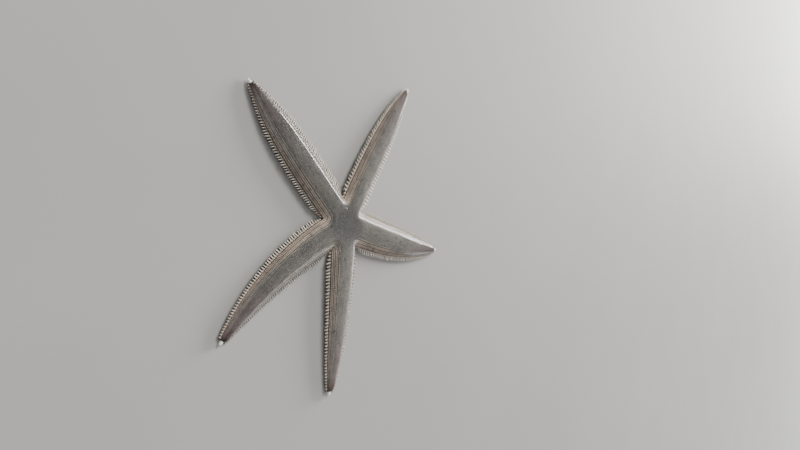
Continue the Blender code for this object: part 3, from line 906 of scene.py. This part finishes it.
def build_mouth(material, spine_material):
    """A soft ring round the mouth opening, and five pairs of jaws whose spines point into it."""
    angles = np.arange(MOUTH_SIDES) / MOUTH_SIDES * 2.0 * math.pi
    rings = []
    for number, (radius, up) in enumerate(MOUTH_PROFILE):
        wave = 1.0 + 0.05 * np.cos(angles * 5.0 + 0.6) - 0.03 * np.cos(angles * 20.0) * (2 < number < 7)
        rings.append(np.column_stack((np.cos(angles) * radius * wave, np.sin(angles) * radius * wave,
                                      np.full(MOUTH_SIDES, up))))
    ends = [(0.0, 0.0, MOUTH_PROFILE[number][1]) for number in (-1, 0)]
    points = np.concatenate((*rings, ends)) * MM
    opening, edge, depth = MOUTH_OPENING
    # painted shade: darker the deeper inside the opening
    inside = np.clip((points[:, 2] - edge) / depth, 0.0, 1.0)
    inside *= np.hypot(points[:, 0], points[:, 1]) < opening
    inside[-1] = 0.0               # the ring's hidden top
    points[:, :2] += CENTRE
    faces = [face[::-1] for face in ring_faces(len(rings), MOUTH_SIDES, True)]
    ring = make_piece("mouth_ring", points, *flattened(faces), material, "mouth", {"inside": inside})
    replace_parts(ring, "mouth")

    chance = np.random.default_rng(67)
    spine = peg_shape(6, 5, 4.0, 0.35, 0.3)
    growth = Growth()
    steps = np.linspace(0.0, 1.0, JAW_SPINES)
    every = np.ones((JAW_SPINES, 1))
    for arm in ARMS:
        heading = arm.corners[1] / np.linalg.norm(arm.corners[1])
        for side in (1, -1):
            aside = side * left_of(heading)
            spots = (heading * (JAW_START + JAW_LENGTH * steps[:, None])
                     + aside * (0.35 * MM + 0.9 * MM * steps[:, None]))
            roots = lift_points(spots, np.full(JAW_SPINES, 1.25 * MM))
            inward, aside = level(-heading * every), level(aside * every)
            direction = inward * (0.8 - 0.5 * steps)[:, None] + aside * 0.35 - (0.0, 0.0, 0.55)
            extent = every * (0.22 * MM, 0.18 * MM, 1.45 * MM) - np.outer(steps, (0.0, 0.0, 0.45 * MM))
            growth.add(spine, roots, spine_frames(direction, aside), extent,
                       {"tint": chance.random(JAW_SPINES)})
    growth.finish("mouth_spines", spine_material, "plate")


# ---------------------------------------------------------------- end plates

PLATE_HALF_WIDTH = 0.96 * MM
PLATE_HEIGHT = 1.75 * MM
PLATE_ROOT_LENGTH = 0.7 * MM   # how far a plate reaches back into its arm


def build_end_plates(material):
    """The pale plate at each arm's end, cleft in front, with a rounded back."""
    sides, rings = 28, 27
    lows = np.arange(1, rings + 1) / (rings + 1) * math.pi
    ball = [level(circle_of(sides)) * math.sin(low) - (0.0, 0.0, math.cos(low)) for low in lows]
    ball = np.concatenate((*ball, ((0.0, 0.0, 1.0), (0.0, 0.0, -1.0))))
    corners, counts = flattened(ring_faces(rings, sides, True))
    x, y, z = ball.T
    cleft = 0.16 * np.exp(-(y / 0.28) ** 2) * np.maximum(0.0, x) ** 2
    waist = 1.0 - 0.22 * np.maximum(0.0, -x)
    x = x * np.where(x > 0.0, PLATE_LENGTH, PLATE_ROOT_LENGTH) * (1.0 - cleft)
    y = y * PLATE_HALF_WIDTH * waist
    z = z * PLATE_HEIGHT / 2.0 * waist * (1.0 - 0.5 * cleft)
    for arm in ARMS:
        point, ahead = arm.axis(arm.end)
        flat = point + x[:, None] * ahead + y[:, None] * left_of(ahead)
        up = z + PLATE_HEIGHT / 2.0 + arm.raised(arm.end) + 0.1 * MM
        plate = make_piece(f"end_plate_{arm.name}", lift_points(flat, up), corners, counts,
                           material, "plate")
        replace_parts(plate, f"{arm.name}_tip")


# ---------------------------------------------------------------- materials

class Look:
    """A material and its nodes. A colour may be given as one number, for a grey."""

    def __init__(self, name):
        self.material = bpy.data.materials.new(name)
        self.material.use_nodes = True
        self.tree = self.material.node_tree
        self.shader = self.tree.nodes["Principled BSDF"]

    def feed(self, node, inputs):
        """Link sockets to a node's inputs, or set them to plain values."""
        for key, value in inputs.items():
            if isinstance(value, bpy.types.NodeSocket):
                self.tree.links.new(value, node.inputs[key])
            else:
                node.inputs[key].default_value = value

    def node(self, kind, inputs, output=0, **settings):
        made = self.tree.nodes.new(f"ShaderNode{kind}")
        for key, value in settings.items():
            setattr(made, key, value)
        self.feed(made, inputs)
        return made.outputs[output]

    def mark(self, name, output="Fac"):
        return self.node("Attribute", {}, output, attribute_name=name)

    def math(self, operation, first, second):
        return self.node("Math", {0: first, 1: second}, operation=operation)

    def spread(self, value, low, high, new_low=0.0, new_high=1.0):
        return self.node("MapRange", {"Value": value, "From Min": low, "From Max": high,
                                      "To Min": new_low, "To Max": new_high})

    def noise(self, scale, detail=3.0, roughness=0.6, place=None):
        place = place or self.node("TexCoord", {}, "Object")
        return self.node("TexNoise", {"Scale": scale, "Detail": detail, "Roughness": roughness,
                                      "Vector": place}, "Fac")

    def grain(self, scale, low, high, detail=3.0):
        """Fine noise spread between two values."""
        return self.spread(self.noise(scale, detail), 0.3, 0.7, low, high)

    def grey(self, value):
        return self.node("CombineColor", {"Red": value, "Green": value, "Blue": value})

    def ramp(self, value, *stops):
        made = self.tree.nodes.new("ShaderNodeValToRGB")
        elements = made.color_ramp.elements
        while len(elements) < len(stops):
            elements.new(1.0)
        for element, (place, colour) in zip(elements, stops):
            element.position, element.color = place, rgba(colour)
        self.feed(made, {"Fac": value})
        return made.outputs["Color"]

    def mix(self, amount, first, second, blend="MIX"):
        colours = {6: first, 7: second}
        colours = {key: colour if isinstance(colour, bpy.types.NodeSocket) else rgba(colour)
                   for key, colour in colours.items()}
        return self.node("Mix", {"Factor": amount, **colours}, 2, data_type="RGBA", blend_type=blend)

    def times(self, colour, factor, amount=1.0):
        return self.mix(amount, colour, factor, "MULTIPLY")

    def finish(self, colour, roughness, coat, coat_roughness, relief, strength, distance):
        """The surface's colour, roughness and wet coat, and its finest relief."""
        relief = self.node("Bump", {"Strength": strength, "Distance": distance, "Height": relief})
        self.feed(self.shader, {"Base Color": colour, "Roughness": roughness, "Coat Weight": coat,
                                "Coat Roughness": coat_roughness, "Normal": relief})
        return self.material


def rgba(colour):
    return (*(colour if isinstance(colour, tuple) else (colour,) * 3), 1.0)


# Colours from the margin to the crest: each seam comes before its row.
SEAMS = ((0.055, 0.042, 0.034), (0.190, 0.155, 0.130), (0.070, 0.057, 0.048), (0.200, 0.170, 0.142),
         (0.052, 0.045, 0.038), (0.135, 0.126, 0.113))
ROW_COLOURS = ((0.285, 0.230, 0.192), (0.290, 0.235, 0.196), (0.296, 0.250, 0.205), (0.280, 0.240, 0.200),
               (0.232, 0.212, 0.185))
GREY = (0.184, 0.174, 0.160)
PLAIN_ROWS = (0.200, 0.186, 0.168)
CREST_GREY = (0.140, 0.134, 0.125)
SEAM_HALF = 0.010


def stripe_stops():
    stops = [(0.0, SEAMS[0])]
    for number, colour in enumerate(ROW_COLOURS):
        near, far = (over_surface(ROW_EDGES[number + k]) for k in (0, 1))
        stops += [(near + SEAM_HALF * 0.5, SEAMS[number]), (near + SEAM_HALF * 1.6, colour),
                  (far - SEAM_HALF * 1.6, colour), (far - SEAM_HALF * 0.5, SEAMS[number + 1])]
    return [*stops, (FIELD_START + SEAM_HALF * 1.6, GREY), (1.0, CREST_GREY)]


def streaks(look):
    """Faint streaks that run along the arms."""
    place = look.node("CombineXYZ", {"X": look.math("MULTIPLY", look.mark("along"), 0.10),
                                     "Y": look.mark("across")})
    return look.ramp(look.noise(950.0, 2.0, 0.5, place), (0.32, 0.86), (0.68, (1.14, 1.13, 1.12)))


def markings(look, wobble):
    """The stripes along the margins, the greyer crest, and the darker, purplish outer arms."""
    band = look.math("ADD", look.mark("band"), look.grain(420.0, -wobble, wobble, 2.0))
    stripes = look.ramp(band, *stripe_stops())
    out = look.mark("out")
    plain = []                 # the inner rows lose their stripes on the outer arm
    for row, start, end, most in ((2, 0.36, 0.66, 0.9), (1, 0.66, 0.90, 0.8)):
        edge = over_surface(ROW_EDGES[row])
        plain.append(look.math("MULTIPLY", look.spread(band, edge - 0.02, edge + 0.02),
                               look.spread(out, start, end, 0.0, most)))
    stripes = look.mix(look.math("MAXIMUM", *plain), stripes, GREY)
    # painted sheen on the arms' far sides: the rows fade towards plain grey where the stripe mark is low
    stripes = look.mix(look.mark("stripe"), PLAIN_ROWS, stripes)
    field = look.spread(band, FIELD_START - 0.12, FIELD_START)
    colour = look.times(stripes, look.mix(field, look.grey(look.mark("row_tone")), 1.0))
    colour = look.times(colour, look.ramp(out, (0.0, (0.52, 0.54, 0.56)), (0.08, (0.57, 0.59, 0.61)),
                                          (0.16, (0.84, 0.85, 0.85)), (0.25, 1.0)), field)
    reach = look.ramp(out, (0.50, 1.0), (0.85, (0.86, 0.77, 0.81)), (1.0, (0.80, 0.69, 0.72)))
    colour = look.times(colour, reach, look.spread(field, 0.0, 1.0, 0.35, 1.0))
    for factor in (
            look.grey(look.mark("tone")),
            look.ramp(look.noise(130.0, 4.0, 0.65), (0.30, (0.76, 0.78, 0.78)), (0.5, 1.0),
                      (0.72, (1.20, 1.17, 1.13))),
            look.ramp(look.noise(340.0, 1.0), (0.27, (0.62, 0.61, 0.60)), (0.34, 1.0)),
            streaks(look),
            look.ramp(look.mark("tip"), (0.0, (0.50, 0.41, 0.37)), (0.25, (0.62, 0.53, 0.51)),
                      (0.75, 1.0))):
        colour = look.times(colour, factor)
    return colour


def finish_wet(look, colour, roughness, relief, strength, distance):
    """A surface under a thin smooth film of water."""
    look.feed(look.shader, {"Specular IOR Level": 0.25, "Coat IOR": 1.42})
    return look.finish(colour, roughness, 0.9, 0.12, relief, strength, distance)


def skin_material():
    look = Look("wet_skin")
    colour = look.times(markings(look, 0.006), (0.62, 0.60, 0.58))
    pale = look.ramp(look.noise(300.0), (0.35, (0.22, 0.175, 0.13)), (0.65, (0.34, 0.28, 0.21)))
    colour = look.mix(look.mark("under"), colour, pale)
    return finish_wet(look, colour, look.grain(500.0, 0.48, 0.66), look.noise(2600.0), 0.8, 0.0003)


def paxilla_material():
    """The film of water follows the skin's shape and not each paxilla's."""
    look = Look("paxillae")
    colour = look.times(markings(look, 0.0), look.ramp(look.mark("tint"),
        (0.000, (0.62, 0.61, 0.60)), (0.012, (0.64, 0.63, 0.62)), (0.030, (0.86, 0.87, 0.88)),
        (0.500, 1.0), (0.940, (1.13, 1.12, 1.10)), (1.000, (1.36, 1.33, 1.28))))
    # painted shade: each paxilla darkens towards its foot, between its neighbours, and is lighter on top
    colour = look.times(colour, look.ramp(look.mark("up"), (0.0, (0.30, 0.28, 0.27)), (0.55, 0.80),
                                          (1.0, 1.12)))
    look.feed(look.shader, {"Coat Normal": look.mark("film", "Vector")})
    return finish_wet(look, colour, look.grain(900.0, 0.46, 0.62), look.noise(5200.0, 2.0), 0.5, 0.00012)


def spine_material(name, base, point, coat):
    """Pale spines, with painted shade that darkens them where they stand in the skin."""
    look = Look(name)
    colour = look.ramp(look.mark("up"), (0.0, base), (0.35, point), (1.0, point))
    # the second factor is painted shade on the combs, set for each side of an arm
    for factor in (look.ramp(look.mark("tint"), (0.0, (0.80, 0.79, 0.78)), (1.0, (1.10, 1.08, 1.06))),
                   look.ramp(look.mark("comb_shade"), (0.0, 1.0), (1.0, 0.0)),
                   look.ramp(look.noise(1500.0), (0.3, (0.82, 0.80, 0.78)), (0.7, 1.08))):
        colour = look.times(colour, factor)
    look.feed(look.shader, {"Subsurface Weight": 0.15, "Subsurface Radius": (0.0008, 0.0005, 0.0003)})
    return look.finish(colour, look.grain(700.0, 0.30, 0.5), coat, 0.15, look.noise(4000.0), 0.4, 0.0001)


def grainy_material(name, dark, pale, scale, roughness):
    """A plain hard or soft surface with fine grain, and painted shade that makes it nearly black deep
    inside an opening.
    """
    look = Look(name)
    grain = look.noise(scale, 4.0)
    colour = look.times(look.ramp(grain, (0.32, dark), (0.62, pale)),
                        look.ramp(look.mark("inside"), (0.0, 1.0), (1.0, (0.10, 0.07, 0.06))))
    roughness = look.spread(grain, 0.3, 0.7, roughness, roughness + 0.15)
    return look.finish(colour, roughness, 0.4, 0.15, look.noise(scale * 2.5), 0.6, 0.0001)


SIEVE_GROOVES = 14


def build_sieve(material):
    """The sieve plate, a low button with winding grooves, level with the paxillae round it."""
    sides, rings = SIEVE_GROOVES * 4, 9
    radius, foot = (sieve_box[1].x - sieve_box[0].x) / 2.0, sieve_box[0].z
    top = float(top_height(SIEVE[None])[0]) + SIEVE_PIT_DEPTH - 0.10 * MM
    angles = np.arange(sides) / sides * 2.0 * math.pi
    circle = circle_of(sides)
    points = [np.column_stack((circle * radius, np.full(sides, foot)))]
    for share in np.linspace(1.0, 0.12, rings):
        dome = top - 0.35 * MM * share ** 4
        groove = 0.06 * MM * share * np.cos(SIEVE_GROOVES * angles + 4.0 * math.sin(5.0 * share))
        points.append(np.column_stack((circle * radius * share, dome + groove)))
    points = np.concatenate((*points, ((0.0, 0.0, top), (0.0, 0.0, foot))))
    points[:, :2] += SIEVE + CENTRE
    faces = flattened(ring_faces(rings + 1, sides, True))
    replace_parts(make_piece("sieve_plate", points, *faces, material, "sieve"), "madreporite")


# ---------------------------------------------------------------- floor, light and camera

FLOOR_SIZE = 24.0
FLOOR_GAP = 0.05 * MM


def build_floor():
    bpy.ops.mesh.primitive_plane_add(size=FLOOR_SIZE, location=(0.0, 0.0, -FLOOR_GAP))
    floor = bpy.context.object
    floor.name = "floor"
    look = Look("pale_floor")
    tone = look.ramp(look.noise(6.0), (0.3, (0.315, 0.31, 0.298)), (0.7, (0.335, 0.33, 0.317)))
    look.feed(look.shader, {"Base Color": tone, "Roughness": 0.75})
    floor.data.materials.append(look.material)


def area_light(name, azimuth, elevation, distance, size, power, colour):
    """A soft light that looks at the middle of the animal; azimuth 0 stands on the +Y side."""
    turn, up = math.radians(azimuth), math.radians(elevation)
    back = Vector((-math.sin(turn) * math.cos(up), math.cos(turn) * math.cos(up), math.sin(up)))
    light = bpy.data.lights.new(name, "AREA")
    light.shape, light.energy, light.color = "RECTANGLE", power, colour
    light.size, light.size_y = size
    lamp = bpy.data.objects.new(name, light)
    lamp.location = Vector((*CENTRE, 0.0)) + back * distance
    lamp.rotation_mode = "QUATERNION"
    lamp.rotation_quaternion = (-back).to_track_quat("-Z", "Y")
    lamp.visible_camera = False
    bpy.context.scene.collection.objects.link(lamp)
    return lamp


def build_lights():
    key = area_light("key_light", 57.0, 42.0, 2.2, (0.75, 0.75), 56.0, (1.0, 0.975, 0.94))
    key.visible_glossy = False
    area_light("low_back_light", 21.0, 12.0, 4.0, (1.9, 1.0), 330.0, (1.0, 0.985, 0.96))
    area_light("low_side_light", -24.0, 12.0, 4.0, (1.9, 1.2), 55.0, (0.97, 0.98, 1.0))
    area_light("near_fill", 190.0, 60.0, 2.4, (2.4, 2.4), 16.0, (1.0, 0.985, 0.96))
    world = bpy.data.worlds.new("studio")
    world.use_nodes = True
    background = world.node_tree.nodes["Background"]
    background.inputs["Color"].default_value = (0.97, 0.98, 1.0, 1.0)
    background.inputs["Strength"].default_value = 0.36
    bpy.context.scene.world = world


CAMERA_OFFSET = Vector((0.7 * MM, -238.4 * MM, 254.9 * MM))   # from the middle of the disc
CAMERA_DIP = 41.0              # degrees below level, looking along +Y
CAMERA_LENS = 26.0             # mm, on a sensor 36 mm wide


def build_camera():
    """The camera is turned on its side: the picture's right points away from it, up is -X."""
    camera = bpy.data.cameras.new("camera")
    camera.lens, camera.sensor_width = CAMERA_LENS, 36.0
    camera.clip_start, camera.clip_end = 0.01, 20.0
    dip = math.radians(CAMERA_DIP)
    right, up = Vector((0.0, math.sin(dip), math.cos(dip))), Vector((-1.0, 0.0, 0.0))
    axes = Matrix((right, up, right.cross(up))).transposed()
    holder = bpy.data.objects.new("camera", camera)
    holder.matrix_world = Matrix.Translation(Vector((*CENTRE, 0.0)) + CAMERA_OFFSET) @ axes.to_4x4()
    bpy.context.scene.collection.objects.link(holder)
    bpy.context.scene.camera = holder


def main():
    coat = paxilla_material()
    cream = spine_material("cream_spines", (0.72, 0.64, 0.54), (0.96, 0.91, 0.83), 0.6)
    sole = spine_material("sole_spines", (0.30, 0.24, 0.18), (0.62, 0.54, 0.42), 0.3)
    build_skin(skin_material())
    build_rows(coat)
    build_field(coat)
    plates = spine_material("margin_plates", (0.46, 0.39, 0.32), (0.78, 0.71, 0.62), 0.5)
    # painted shade: dark spines that darken the gaps under the pale comb
    fringe = spine_material("fringe", (0.038, 0.030, 0.025), (0.085, 0.068, 0.056), 0.3)
    build_margins(plates, cream, fringe)
    build_underside(sole, spine_material("tube_feet", (0.50, 0.42, 0.30), (0.70, 0.60, 0.42), 0.6))
    build_mouth(grainy_material("mouth_skin", (0.34, 0.26, 0.19), (0.52, 0.43, 0.32), 700.0, 0.35), sole)
    build_end_plates(grainy_material("end_plate", (0.80, 0.76, 0.68), (0.96, 0.94, 0.89), 1400.0, 0.30))
    build_sieve(grainy_material("sieve_plate", (0.075, 0.070, 0.063), (0.130, 0.122, 0.110), 900.0, 0.45))
    build_floor()
    build_lights()
    build_camera()


main()
